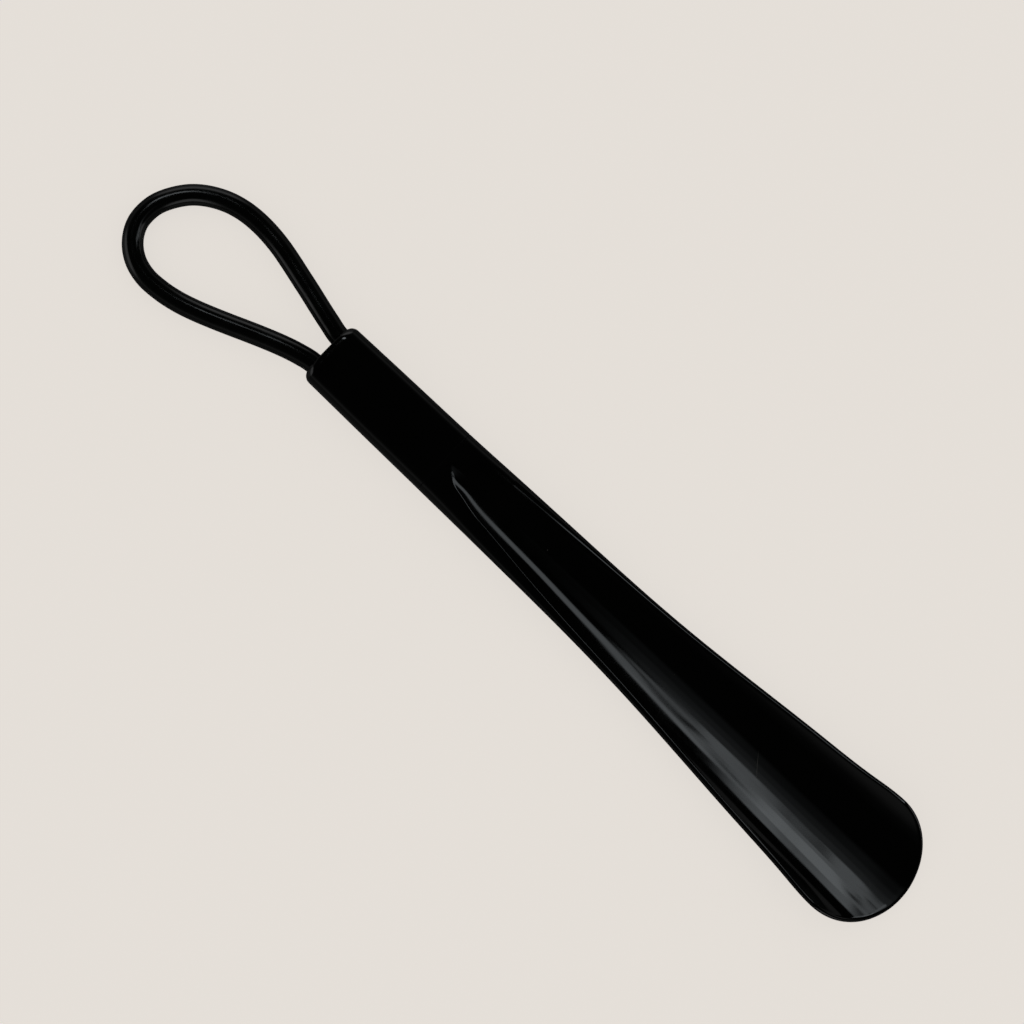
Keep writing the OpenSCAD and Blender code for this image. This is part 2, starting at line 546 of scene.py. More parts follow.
    def trough(self, u: float, y: float) -> float:
        """Return the trough's own height, above the rims where there is no trough.

        Args:
            u: Distance from the end face.
            y: Distance across from the middle.

        Returns:
            The height of the hollow surface.
        """
        closed = max(1 - (u - self.scoop_start) / self.scoop_length, 0.0) ** 3
        floor = self.rim_height(u) - self.depth(u) * (1 - closed)
        return floor + sag_of(self.hollow.at(u, 2), y)

    def from_edge(self, u: float, y: float) -> tuple[float, float, float]:
        """Measure how far a place is inside the outline.

        Args:
            u: Distance from the end face.
            y: Distance across, positive.

        Returns:
            The distance, and the outward direction along the horn and across it.
        """
        if u <= self.widest:
            return self.half_width(u) - y, 0.0, 1.0
        full = self.body.at(u, 1)
        share = self.tip_share(u)
        reach = max(math.sqrt(share + (y / full) ** 2), 1e-6)
        lengthwise = share * self.tip_power / (2 * (u - self.widest) * reach)
        across = y / (full * full * reach)
        steep = math.hypot(lengthwise, across)
        return (1 - reach) / steep, lengthwise / steep, across / steep

    def rim_drop(self, u: float) -> float:
        """Return the height of the rims' outer rounding.

        Args:
            u: Distance from the end face.

        Returns:
            How far the rounding reaches down from the rims.
        """
        if u < self.cover_length:
            return self.rim_height(u) - self.parting
        top = min(self.rim_height(u), self.trough(u, self.inner(u)))
        return min(self.rim.at(u, 2), self.rim_round_limit * (top - self.underside(u)))

    def top(self, u: float, y: float) -> float:
        """Return the height of the upper surface.

        Args:
            u: Distance from the end face.
            y: Distance across, positive.

        Returns:
            The height, with the rims' inner and outer edges rounded.
        """
        inside, lengthwise, across = self.from_edge(u, y)
        width = self.half_width(u) - self.inner(u) if u <= self.widest else self.rim.at(u, 1)
        hollow = self.trough(u, y)
        shelf = self.rim_height(u)
        if u > self.widest:
            if inside >= 3 * width:
                return hollow
            shift = width - inside
            shelf = self.trough(u - lengthwise * shift, max(y - across * shift, 0.0))
        shelf -= self.rim_drop(u) * rounded_step(inside / width, self.edge_power)
        return soft_least(hollow, shelf, self.edge_blend)

    def bottom(self, u: float, y: float, edge: float) -> float:
        """Return the height of the lower surface.

        Args:
            u: Distance from the end face.
            y: Distance across, positive.
            edge: Height of the outline at this station.

        Returns:
            The height: boxy under the handle, following the trough under the blade.
        """
        q = min(y / self.half_width(u), 1.0)
        boxy = 1 - ease(self.boxy_until, self.slender_from, u)
        full = self.edge_power + 1
        rise = boxy * (1 - (1 - q**full) ** (1 / full)) + (1 - boxy) * q**self.edge_power
        near_tip = ease(*(self.widest + d for d in self.tip_edge_from), u)
        if near_tip > 0:
            inside = self.from_edge(u, y)[0]
            turned = rounded_step(inside / self.tip_edge, self.edge_power) * near_tip
            rise = min((rise**3 + turned**3) ** (1 / 3), 1.0)
        low = self.underside(u)
        return low + (edge - low) * rise

    def stations(self) -> list[float]:
        """List the sections' places, close together where the form turns.

        Returns:
            Their distances from the end face.
        """
        before, after = self.cover_length - self.groove_reach, self.cover_length + self.groove_reach
        scoop_open, blade_begins = 84.0, 124.0
        spans = (
            (0.0, self.end_corner, 10),
            (self.end_corner, before, 14),
            (before, self.cover_length, 1),
            (self.cover_length, after, 1),
            (after, scoop_open, 46),
            (scoop_open, blade_begins, 26),
            (blade_begins, self.widest, 88),
        )
        places = [0.0]
        for first, last, count in spans:
            for i in range(1, count + 1):
                s = i / count
                if last == self.end_corner:
                    s = s * s
                places.append(first + (last - first) * s)
        tip_count = SECTIONS - (len(places) - 1)
        for i in range(1, tip_count + 1):
            turn = math.radians(self.last_turn) * i / tip_count
            places.append(self.widest + self.tip_length * math.sin(turn) ** (2 / self.tip_power))
        return places

    def ring(self, u: float) -> list[Vector]:
        """Return the points round one section.

        Args:
            u: Distance from the end face.

        Returns:
            The points anticlockwise seen from the tip, from the widest point on the +Y side.
        """
        half, inner = self.half_width(u), self.inner(u)
        across = []
        for t in RIM_TURNS:
            across.append(inner + (half - inner) * math.sin(math.radians(t)) ** (2 / self.edge_power))
        across += [inner * q for q in TROUGH_SHARES]
        upper = [(y, self.top(u, y)) for y in across]
        upper[0] = (half, self.top(u, half))
        edge = upper[0][1]
        slender = ease(self.boxy_until, self.slender_from, u)
        lower_across = []
        for t in UNDER_TURNS:
            boxy_share = math.sin(math.radians(t)) ** (2 / (self.edge_power + 1))
            lower_across.append(half * (boxy_share + (t / 90 - boxy_share) * slender))
        lower = [(y, self.bottom(u, y, edge)) for y in lower_across]
        middle_top, middle_low = (0.0, self.top(u, 0.0)), (0.0, self.bottom(u, 0.0, edge))
        flat = upper + [middle_top] + [(-y, z) for y, z in upper[::-1]]
        flat += [(-y, z) for y, z in lower] + [middle_low] + lower[::-1]
        flat = self.grooved(u, flat)
        return [Vector((self.end_x + u, y, z)) for y, z in flat]

    def grooved(self, u: float, flat: list[Point2]) -> list[Point2]:
        """Sink the fine joint lines into a section.

        Args:
            u: Distance from the end face.
            flat: The section's points, across and up.

        Returns:
            The points, with those on a joint line moved inwards.
        """
        slack = 0.01
        if u > self.cover_length + slack:
            return flat
        front = abs(u - self.cover_length) < slack
        sunk = []
        count = len(flat)
        for k, (y, z) in enumerate(flat):
            before, after = flat[k - 1], flat[(k + 1) % count]
            along_y, along_z = after[0] - before[0], after[1] - before[1]
            length = max(math.hypot(along_y, along_z), 1e-6)
            on_side = abs(z - self.parting) < 2 * slack and abs(y) > 0.9 * self.half_width(u)
            depth = self.groove if on_side or (front and z > self.parting) else 0.0
            sunk.append((y - depth * along_z / length, z + depth * along_y / length))
        return sunk


# ---------------------------------------------------------------- horn and cover


@dataclass
class HandleInside:
    """Hollow, cord channels, stop pockets, pegs and bosses inside the handle, in millimetres.

    Attributes:
        form: The outer form, for the end face's place and the parting.
        cord_half_spacing: Distance of each channel's middle from the horn's middle.
        channel_radius: Radius of the channel that grips the cord.
        pocket_radius: Radius of the pocket round each stop.
        grip_block: Length of the solid block behind the end face.
        stop_length: Length of a stop.
        hollow_half: Half the hollow's width.
        hollow_end: Distance from the end face to the hollow's far wall.
        hollow_corner: Rounding of the hollow's corners.
        wall: Thickness over and under the hollow.
        peg_radius: Radius of the cover's pegs.
        peg_gap: Clearance round a peg.
        peg_length: How far a peg reaches below the parting.
        peg_root: How far it reaches into the cover.
        peg_nose: Chamfer of a peg's end.
        boss_radius: Radius of the boss round each peg hole.
        mouth_chamfer: Chamfer where each channel meets the end face.
        pegs: Distance from the end face and across, of each peg.
    """

    form: HornForm
    cord_half_spacing: float = 6.3
    channel_radius: float = 3.8
    pocket_radius: float = 4.6
    grip_block: float = 12.0
    stop_length: float = 7.0
    hollow_half: float = 10.2
    hollow_end: float = 49.0
    hollow_corner: float = 0.8
    wall: float = 2.2
    peg_radius: float = 1.4
    peg_gap: float = 0.1
    peg_length: float = 3.0
    peg_root: float = 2.5
    peg_nose: float = 0.3
    boss_radius: float = 2.6
    mouth_chamfer: float = 0.5
    pegs: tuple[Point2, ...] = ((6, 0), (32, 5), (32, -5), (44, 0))

    def place(self, u: float, y: float, z: float) -> Vector:
        """Return a point given from the end face."""
        return Vector((self.form.end_x + u, y, z))

    def upright(
        self, name: str, peg: Point2, low: float, high: float, radii: Point2, facets: int = 24
    ) -> bpy.types.Object:
        """Add an upright rod at a peg's place.

        Args:
            name: The rod's name.
            peg: The peg's place.
            low: Height of its lower end.
            high: Height of its upper end.
            radii: Radius at the lower and the upper end.
            facets: Number of sides.

        Returns:
            The rod.
        """
        return rod(name, self.place(*peg, low), self.place(*peg, high), radii, facets)

    def hollow(self, name: str) -> bpy.types.Object:
        """Build the space inside the handle as one solid.

        Args:
            name: Name of the cutting solid.

        Returns:
            The hollow with its channels and pockets, bosses left standing.
        """
        low = self.place(self.grip_block, -self.hollow_half, self.wall)
        high = self.place(self.hollow_end, self.hollow_half, self.form.height - self.wall)
        space = block(name, low, high)
        make_active(space)
        soften = space.modifiers.new("inner corners", "BEVEL")
        soften.width = self.hollow_corner * MM
        soften.segments = 3
        bpy.ops.object.modifier_apply(modifier=soften.name)
        for peg in self.pegs:
            if peg[0] > self.grip_block:
                boss = self.upright("boss", peg, 0, self.form.height, (self.boss_radius,) * 2, 48)
                combine(space, boss, Cut.AWAY)
        grip, pocket_end = self.grip_block, self.grip_block + self.stop_length + 1
        chamfered = (self.channel_radius + self.mouth_chamfer, self.channel_radius - 0.1)
        for side in Side:
            y = side.value * self.cord_half_spacing
            for part, start, end, radii in (
                ("channel", -1, grip + 1, (self.channel_radius,) * 2),
                ("pocket", grip - 0.05, pocket_end, (self.pocket_radius,) * 2),
                ("mouth", -0.1, self.mouth_chamfer, chamfered),
            ):
                ends = (self.place(u, y, self.form.parting) for u in (start, end))
                combine(space, rod(part, *ends, radii), Cut.JOIN)
        return space

    def pegs_standing(self, tool: bpy.types.Object) -> None:
        """Join the cover's pegs to a solid.

        Args:
            tool: The solid that gains the pegs.
        """
        foot = self.form.parting - self.peg_length
        top = self.form.parting + self.peg_root
        slim = (self.peg_radius - self.peg_nose, self.peg_radius)
        for peg in self.pegs:
            shank = self.upright("peg", peg, foot + self.peg_nose, top, (self.peg_radius,) * 2)
            combine(tool, shank, Cut.JOIN)
            combine(tool, self.upright("peg_nose", peg, foot, foot + self.peg_nose + 0.02, slim), Cut.JOIN)

    def peg_holes(self, tool: bpy.types.Object) -> None:
        """Join the peg holes to a cutting solid.

        Args:
            tool: The cutting solid that gains the holes.
        """
        foot = self.form.parting - self.peg_length - 2 * self.peg_gap
        radii = (self.peg_radius + self.peg_gap,) * 2
        for peg in self.pegs:
            combine(tool, self.upright("peg_hole", peg, foot, self.form.parting + 1, radii), Cut.JOIN)


@dataclass
class Horn:
    """The horn with the handle's tray, and the handle cover on it, in millimetres.

    Attributes:
        inside: The inside of the handle, with the outer form.
        seam_gap: How far the cover stands back from the horn at the joints.
        reach: Half the width of the cutting blocks, well past the horn.
        foot_depth: How far the block that levels the handle's foot reaches down and out.
    """

    inside: HandleInside
    seam_gap: float = 0.03
    reach: float = 40.0
    foot_depth: float = 5.0

    @property
    def form(self) -> HornForm:
        """Outer form of the horn and handle."""
        return self.inside.form

    def envelope(self, name: str) -> bpy.types.Object:
        """Build the closed outer form of the horn and handle together.

        Args:
            name: The solid's name.

        Returns:
            The solid.
        """
        rings = [self.form.ring(u) for u in self.form.stations()]
        bar = bar_along(name, len(rings[0]), 2)
        lay_on(bar, rings)
        return bar

    def cover_space(self, name: str, gap: float) -> bpy.types.Object:
        """Build the block of space that the cover fills.

        Args:
            name: The block's name.
            gap: How far the block stands back from the joints.

        Returns:
            The block.
        """
        low = self.inside.place(-self.foot_depth, -self.reach, self.form.parting + gap)
        high = self.inside.place(self.form.cover_length - gap, self.reach, self.reach)
        return block(name, low, high)

    def build(self) -> tuple[bpy.types.Object, bpy.types.Object]:
        """Build the horn and its cover.

        Returns:
            The horn body and the handle cover.
        """
        body = self.envelope("horn_body")
        cutter = self.cover_space("cutter", 0.0)
        combine(cutter, self.inside.hollow("hollow_low"), Cut.JOIN)
        self.inside.peg_holes(cutter)
        foot_low = self.inside.place(-self.foot_depth, -self.reach, -self.foot_depth)
        foot_high = self.inside.place(self.form.scoop_start, self.reach, 0)
        combine(cutter, block("foot", foot_low, foot_high), Cut.JOIN)
        cover = self.envelope("handle_cover_shell")
        combine(body, cutter, Cut.AWAY)
        keeper = self.cover_space("keeper", self.seam_gap)
        combine(keeper, self.inside.hollow("hollow_high"), Cut.AWAY)
        self.inside.pegs_standing(keeper)
        combine(cover, keeper, Cut.KEEP)
        for piece in (body, cover):
            smooth_faces(piece)
        return body, cover

    def dress(self, body: bpy.types.Object, cover: bpy.types.Object, plastic: bpy.types.Material) -> None:
        """Finish the horn and its cover in the same plastic."""
        give_finish(body, plastic, "black_plastic", "horn", "horn")
        give_finish(cover, plastic, "black_plastic", "horn", "handle_cover")


# ---------------------------------------------------------------- cord and its stops


@dataclass
class CordStop:
    """Crimped metal sleeve on a hidden cord end, in millimetres.

    Attributes:
        side: Side of the handle that it lies on.
        inside: The inside of the handle, which holds it.
        clearance: Gap between the sleeve and the block that it bears on.
        radius: Its outer radius.
        bore: Its inner radius.
        rim_round: Rounding of its rims.
        dent: Depth of the crimp's dents.
        dent_reach: Distance from its middle at which a dent has mostly faded.
        dents: Number of dents.
        facets: Points round it.
    """

    side: Side
    inside: HandleInside
    clearance: float = 0.2
    radius: float = 4.4
    bore: float = 3.6
    rim_round: float = 0.35
    dent: float = 0.32
    dent_reach: float = 1.3
    dents: int = 6
    facets: int = 72

    def ring(self, centre: Vector, along: float) -> list[Vector]:
        """Return the points round the sleeve at a distance along it.

        Args:
            centre: Middle of the sleeve's first end.
            along: Distance from that end.

        Returns:
            The points.
        """
        length = self.inside.stop_length
        turned = end_rounding(self.rim_round, min(along, length - along))
        fading = math.exp(-(((along - length / 2) / self.dent_reach) ** 2))
        points = []
        for j in range(self.facets):
            turn = 2 * math.pi * j / self.facets
            lobe = max(math.cos(self.dents * turn), 0.0) ** 2
            radius = self.radius - turned - self.dent * fading * lobe
            points.append(centre + Vector((along, radius * math.cos(turn), radius * math.sin(turn))))
        return points

    def build(self) -> bpy.types.Object:
        """Build the sleeve with its ring of crimp dents.

        Returns:
            The sleeve.
        """
        inside = self.inside
        sleeve = bar_along(f"cord_stop_{self.side.name.lower()}_crimped", self.facets, 1)
        across = self.side.value * inside.cord_half_spacing
        centre = inside.place(inside.grip_block + self.clearance, across, inside.form.parting)
        turns = [math.pi * k / SPLITS for k in range(SPLITS + 1)]
        lay_on(sleeve, [self.ring(centre, inside.stop_length * (0.5 - 0.5 * math.cos(t))) for t in turns])
        past = Vector((1, 0, 0))
        far = centre + past * (inside.stop_length + 1)
        combine(sleeve, rod("bore", centre - past, far, (self.bore,) * 2, self.facets), Cut.AWAY)
        smooth_faces(sleeve, 38)
        return sleeve

    def dress(self, sleeve: bpy.types.Object, metal: bpy.types.Material) -> None:
        """Finish the sleeve in its metal."""
        give_finish(sleeve, metal, "stop_metal", "horn", f"cord_stop_{self.side.name.lower()}")


@dataclass
class LoopCord:
    """The hanging loop: one soft cord, both ends held in the handle, in millimetres.

    Attributes:
        form: The horn's form, for the end face's place.
        diameter: The cord's diameter.
        skin: How far the visible surface lies inside that diameter.
        hidden: Length of each end inside the handle.
        length: Length of the whole cord; not used.
        bend_length: Length beyond the end face over which it bends with the loop; not used.
        end_round: Rounding of its cut ends.
        bite: How deep the channels press into it.
        bitten: Distances from its cut end between which they press.
        bite_fade: Half the length over which the pressing begins.
        first_step: Distance of the second station from a cut end.
        crowding: How much closer the stations stand at the ends and the bow.
        facets: Points round it.
        route: Points from the left hole round to the right one: beyond the end face, across, up.
    """

    form: HornForm
    diameter: float = 7.4
    skin: float = 0.025
    hidden: float = 24.0
    length: float = 228.0
    bend_length: float = 24.0
    end_round: float = 0.5
    bite: float = 0.12
    bitten: Point2 = (4.7, 11.9)
    bite_fade: float = 0.4
    first_step: float = 0.12
    crowding: float = 0.11982
    facets: int = 32
    route: tuple[Point3, ...] = (
        (0, 6.3, 6.2), (6, 7.5, 6), (12, 9, 5.7), (18, 10.6, 5.3), (24, 12.1, 5), (30, 13.6, 4.7),
        (36, 14.9, 4.4), (42, 15.7, 4.1), (48, 15.9, 3.9), (54, 15.3, 3.8), (60, 13.6, 3.7),
        (66, 10.4, 3.7), (71, 6, 3.7), (75, -0.2, 3.7), (76.8, -6, 3.7), (76.4, -12.6, 3.7),
        (73.2, -18.3, 3.7), (68, -22.3, 3.7), (61.6, -24.1, 3.7), (54.6, -23.9, 3.8), (48, -22.7, 3.9),
        (42, -20.9, 4.1), (36, -18.7, 4.4), (30, -16.3, 4.7), (24, -13.8, 5), (18, -11.4, 5.3),
        (12, -9.2, 5.7), (6, -7.4, 6), (0, -6.3, 6.2),
    )  # fmt: skip

    def centreline(self, steps: int = 12, hidden_steps: int = 30) -> list[Vector]:
        """Return the cord's middle as close points, hidden ends included.

        Args:
            steps: Points between two points of the route.
            hidden_steps: Points along each hidden end.

        Returns:
            The points, in millimetres, in the horn's frame.
        """
        knots = [Vector((self.form.end_x - d, y, z)) for d, y, z in self.route]
        first = knots[0] + Vector((self.hidden, 0, 0))
        last = knots[-1] + Vector((self.hidden, 0, 0))
        line = [first.lerp(knots[0], k / hidden_steps) for k in range(hidden_steps)]
        for k, (p, q) in enumerate(zip(knots, knots[1:])):
            straight = Vector((q.x - p.x, 0, 0))
            leave = (q - knots[k - 1]) / 2 if k else straight
            arrive = (knots[k + 2] - p) / 2 if k < len(knots) - 2 else straight
            line += [curve_between(p, q, leave, arrive, i / steps) for i in range(steps)]
        line += [knots[-1].lerp(last, k / hidden_steps) for k in range(hidden_steps + 1)]
        return line

    def radius(self, from_end: float) -> float:
        """Return the cord's radius, less where it is rounded or pressed.

        Args:
            from_end: Distance from its nearer cut end.

        Returns:
            The radius of its visible surface.
        """
        low, high = self.bitten
        fade = self.bite_fade
        pressed = ease(low - fade, low + fade, from_end) * (1 - ease(high - fade, high + fade, from_end))
        return self.diameter / 2 - self.skin - end_rounding(self.end_round, from_end) - self.bite * pressed

    def rings(self, line: list[Vector]) -> list[list[Vector]]:
        """Return the points round the cord at every station.

        Args:
            line: The cord's middle.

        Returns:
            One ring of points for each station.
        """
        run = [0.0]
        for a, b in zip(line, line[1:]):
            run.append(run[-1] + (b - a).length)
        whole = run[-1]
        rings = []
        k = 0
        for station in range(SECTIONS + 1):
            share = station / SECTIONS
            here = whole * (share - self.crowding * math.sin(4 * math.pi * share) / (4 * math.pi))
            if station == 1:
                here = self.first_step
            elif station == SECTIONS - 1:
                here = whole - self.first_step
            while k < len(run) - 2 and run[k + 1] < here:
                k += 1
            centre = line[k].lerp(line[k + 1], (here - run[k]) / (run[k + 1] - run[k]))
            ahead = (line[min(k + 2, len(line) - 1)] - line[max(k - 1, 0)]).normalized()
            up = (Vector((0, 0, 1)) - ahead * ahead.z).normalized()
            side = up.cross(ahead)
            radius = self.radius(min(here, whole - here))
            turns = [2 * math.pi * j / self.facets for j in range(self.facets)]
            rings.append([centre + radius * (math.cos(t) * side + math.sin(t) * up) for t in turns])
        return rings

    def build(self) -> bpy.types.Object:
        """Returns:
            The cord.
        """
        line = self.centreline()
        tube = bar_along("loop_cord", self.facets, 2)
        lay_on(tube, self.rings(line))
        smooth_faces(tube, 50)
        hole = Vector((self.form.end_x, *self.route[0][1:])) * MM
        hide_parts("loop_ends", "loop_roots", "loop_bow")
        self.form.end_x * MM
        self.form.parting * MM
        (self.form.end_x - self.bend_length) * MM
        self.form.parting * MM
        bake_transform(tube)
        return tube

    def dress(self, tube: bpy.types.Object, rubber: bpy.types.Material) -> None:
        """Finish the cord in its soft black skin."""
        give_finish(tube, rubber, "soft_cord", None)


# ---------------------------------------------------------------- finishes


@dataclass(frozen=True)
class PlasticFinish:
    """Glossy moulded plastic that has been handled.

    Attributes:
        name: Name of the material.
        colour: Colour of the plastic.
        worn_colour: Colour where it has been handled most.
        gloss: Roughness of the clean surface.
        dull: Roughness where hands have dulled it.
        waviness: Depth of the slow unevenness left by moulding, in metres.
        grain: Depth of the finest unevenness, in metres.
        scratch: Colour of the one hairline scratch in the trough.
    """

    name: str
    colour: Colour
    worn_colour: Colour
    gloss: float
    dull: float
    waviness: float
    grain: float
    scratch: Colour


def moulded_plastic(finish: PlasticFinish) -> bpy.types.Material:
    """Write out the material of moulded plastic.

    Args:
        finish: The finish to write out.

    Returns:
        The material.
    """
    material = bpy.data.materials.new(finish.name)
    material.use_nodes = True
    tree = material.node_tree
    tree.nodes.clear()

    place = tree.nodes.new("ShaderNodeTexCoord")
    place.label = "Place on the plastic"
    along = tree.nodes.new("ShaderNodeMapping")
    along.label = "Wiping direction, lengthwise"
    handling = tree.nodes.new("ShaderNodeTexNoise")
    handling.label = "Patches dulled by hands"
    handling_range = tree.nodes.new("ShaderNodeMapRange")
    handling_range.label = "How dull the patches are"
    wipes = tree.nodes.new("ShaderNodeTexNoise")
    wipes.label = "Fine wiping marks"
    wipes_range = tree.nodes.new("ShaderNodeMapRange")
    wipes_range.label = "How strong the wiping marks are"
    roughness = tree.nodes.new("ShaderNodeMath")
    roughness.label = "Gloss with its wear"

    dust = tree.nodes.new("ShaderNodeTexVoronoi")
    dust.label = "Specks of dust"
    dust_size = tree.nodes.new("ShaderNodeMapRange")
    dust_size.label = "Size of a speck"
    dust_where = tree.nodes.new("ShaderNodeTexNoise")
    dust_where.label = "Where dust has settled"
    dust_few = tree.nodes.new("ShaderNodeMapRange")
    dust_few.label = "How few specks"
    dust_mask = tree.nodes.new("ShaderNodeMath")
    dust_mask.label = "Dust that shows"
    tint = tree.nodes.new("ShaderNodeMix")
    tint.label = "Plastic, fresh to worn"
    colour = tree.nodes.new("ShaderNodeMix")
    colour.label = "Dust over the plastic"

    scratch_map = tree.nodes.new("ShaderNodeMapping")
    scratch_map.label = "Scratch laid along one axis"
    scratch_axes = tree.nodes.new("ShaderNodeSeparateXYZ")
    scratch_axes.label = "Along and across the scratch"
    scratch_across = tree.nodes.new("ShaderNodeMath")
    scratch_across.label = "Distance across"
    scratch_line = tree.nodes.new("ShaderNodeMapRange")
    scratch_line.label = "Hairline"
    scratch_along = tree.nodes.new("ShaderNodeMath")
    scratch_along.label = "Distance along"
    scratch_ends = tree.nodes.new("ShaderNodeMapRange")
    scratch_ends.label = "Fading ends"
    scratch_mask = tree.nodes.new("ShaderNodeMath")
    scratch_mask.label = "Scratch that shows"
    scratched = tree.nodes.new("ShaderNodeMix")
    scratched.label = "Scratch over the plastic"

    waves = tree.nodes.new("ShaderNodeTexNoise")
    waves.label = "Slow waves left by the mould"
    wave_map = tree.nodes.new("ShaderNodeMapping")
    wave_map.label = "Waves longer along the horn"
    wave_bump = tree.nodes.new("ShaderNodeBump")
    wave_bump.label = "Waves in the surface"
    grain = tree.nodes.new("ShaderNodeTexNoise")
    grain.label = "Finest unevenness"
    grain_bump = tree.nodes.new("ShaderNodeBump")
    grain_bump.label = "Grain in the surface"

    surface = tree.nodes.new("ShaderNodeBsdfPrincipled")
    surface.label = "Moulded plastic"
    out = tree.nodes.new("ShaderNodeOutputMaterial")
    out.label = "Finished surface"

    wear_nodes = [along, handling, handling_range, wipes, wipes_range, roughness]
    dust_nodes = [dust, dust_size, dust_where, dust_few, dust_mask, tint, colour]
    scratch_nodes = [scratch_map, scratch_axes, scratch_across, scratch_line]
    scratch_nodes += [scratch_along, scratch_ends, scratch_mask, scratched]
    relief_nodes = [wave_map, waves, wave_bump, grain, grain_bump]
    for title, members, height in (
        ("Gloss and wear", wear_nodes, 500),
        ("Colour and dust", dust_nodes, 0),
        ("Scratch", scratch_nodes, -500),
        ("Relief", relief_nodes, -1000),
    ):
        group = tree.nodes.new("NodeFrame")
        group.label = title
        for k, node in enumerate(members):
            node.parent = group
            node.location = (-1600 + 220 * k, height)
    place.location = (-1900, 0)
    surface.location = (300, 0)
    out.location = (600, 0)

    along.inputs["Scale"].default_value = (28, 900, 900)
    handling.inputs["Scale"].default_value = 46
    handling.inputs["Detail"].default_value = 5
    handling.inputs["Roughness"].default_value = 0.55
    handling_range.inputs["From Min"].default_value = 0.42
    handling_range.inputs["From Max"].default_value = 0.75
    handling_range.inputs["To Min"].default_value = finish.gloss
    handling_range.inputs["To Max"].default_value = finish.dull
    wipes.inputs["Scale"].default_value = 1.0
    wipes.inputs["Detail"].default_value = 3
    wipes_range.inputs["From Min"].default_value = 0.56
    wipes_range.inputs["From Max"].default_value = 0.78
    wipes_range.inputs["To Min"].default_value = 0.0
    wipes_range.inputs["To Max"].default_value = 0.05
    roughness.operation = "ADD"
    roughness.use_clamp = True

    dust.feature = "F1"
    dust.inputs["Scale"].default_value = 210
    dust_size.inputs["From Min"].default_value = 0.03
    dust_size.inputs["From Max"].default_value = 0.055
    dust_size.inputs["To Min"].default_value = 1.0
    dust_size.inputs["To Max"].default_value = 0.0
    dust_where.inputs["Scale"].default_value = 75
    dust_where.inputs["Detail"].default_value = 2
    dust_few.inputs["From Min"].default_value = 0.6
    dust_few.inputs["From Max"].default_value = 0.68
    dust_mask.operation = "MULTIPLY"
    tint.data_type = "RGBA"
    tint.inputs["A"].default_value = finish.colour
    tint.inputs["B"].default_value = finish.worn_colour
    colour.data_type = "RGBA"
    colour.inputs["B"].default_value = (0.12, 0.12, 0.115, 1)

    scratch_map.vector_type = "TEXTURE"
    scratch_map.inputs["Location"].default_value = (0.068, -0.0011, 0)
    scratch_map.inputs["Rotation"].default_value = (0, 0, math.radians(-52))
    scratch_map.inputs["Scale"].default_value = (0.0052, 0.00007, 1)
    scratch_across.operation = "ABSOLUTE"
    scratch_line.inputs["From Min"].default_value = 0.4
    scratch_line.inputs["From Max"].default_value = 1.0
    scratch_line.inputs["To Min"].default_value = 1.0
    scratch_line.inputs["To Max"].default_value = 0.0
    scratch_along.operation = "ABSOLUTE"
    scratch_ends.inputs["From Min"].default_value = 0.3
    scratch_ends.inputs["From Max"].default_value = 1.0
    scratch_ends.inputs["To Min"].default_value = 1.0
    scratch_ends.inputs["To Max"].default_value = 0.0
    scratch_mask.operation = "MULTIPLY"
    scratched.data_type = "RGBA"
    scratched.inputs["B"].default_value = finish.scratch

    wave_map.inputs["Scale"].default_value = (0.5, 1, 1)
    waves.inputs["Scale"].default_value = 62
    waves.inputs["Detail"].default_value = 1
    wave_bump.inputs["Strength"].default_value = 1
    wave_bump.inputs["Distance"].default_value = finish.waviness
    grain.inputs["Scale"].default_value = 2600
    grain.inputs["Detail"].default_value = 3
    grain_bump.inputs["Strength"].default_value = 1
    grain_bump.inputs["Distance"].default_value = finish.grain
    surface.inputs["IOR"].default_value = 1.5

    link = tree.links.new
    link(place.outputs["Object"], along.inputs["Vector"])
    link(place.outputs["Object"], handling.inputs["Vector"])
    link(along.outputs["Vector"], wipes.inputs["Vector"])
    link(handling.outputs["Fac"], handling_range.inputs["Value"])
    link(wipes.outputs["Fac"], wipes_range.inputs["Value"])
    link(handling_range.outputs["Result"], roughness.inputs[0])
    link(wipes_range.outputs["Result"], roughness.inputs[1])
    link(roughness.outputs["Value"], surface.inputs["Roughness"])
    link(place.outputs["Object"], dust.inputs["Vector"])
    link(place.outputs["Object"], dust_where.inputs["Vector"])
    link(dust.outputs["Distance"], dust_size.inputs["Value"])
    link(dust_where.outputs["Fac"], dust_few.inputs["Value"])
    link(dust_size.outputs["Result"], dust_mask.inputs[0])
    link(dust_few.outputs["Result"], dust_mask.inputs[1])
    link(handling.outputs["Fac"], tint.inputs["Factor"])
    link(tint.outputs["Result"], colour.inputs["A"])
    link(dust_mask.outputs["Value"], colour.inputs["Factor"])
    link(place.outputs["Object"], scratch_map.inputs["Vector"])
    link(scratch_map.outputs["Vector"], scratch_axes.inputs["Vector"])
    link(scratch_axes.outputs["X"], scratch_along.inputs[0])
    link(scratch_axes.outputs["Y"], scratch_across.inputs[0])
    link(scratch_across.outputs["Value"], scratch_line.inputs["Value"])
    link(scratch_along.outputs["Value"], scratch_ends.inputs["Value"])
    link(scratch_line.outputs["Result"], scratch_mask.inputs[0])
    link(scratch_ends.outputs["Result"], scratch_mask.inputs[1])
    link(colour.outputs["Result"], scratched.inputs["A"])
    link(scratch_mask.outputs["Value"], scratched.inputs["Factor"])
    link(scratched.outputs["Result"], surface.inputs["Base Color"])
    link(place.outputs["Object"], wave_map.inputs["Vector"])
    link(wave_map.outputs["Vector"], waves.inputs["Vector"])
    link(waves.outputs["Fac"], wave_bump.inputs["Height"])
    link(place.outputs["Object"], grain.inputs["Vector"])
    link(grain.outputs["Fac"], grain_bump.inputs["Height"])
    link(wave_bump.outputs["Normal"], grain_bump.inputs["Normal"])
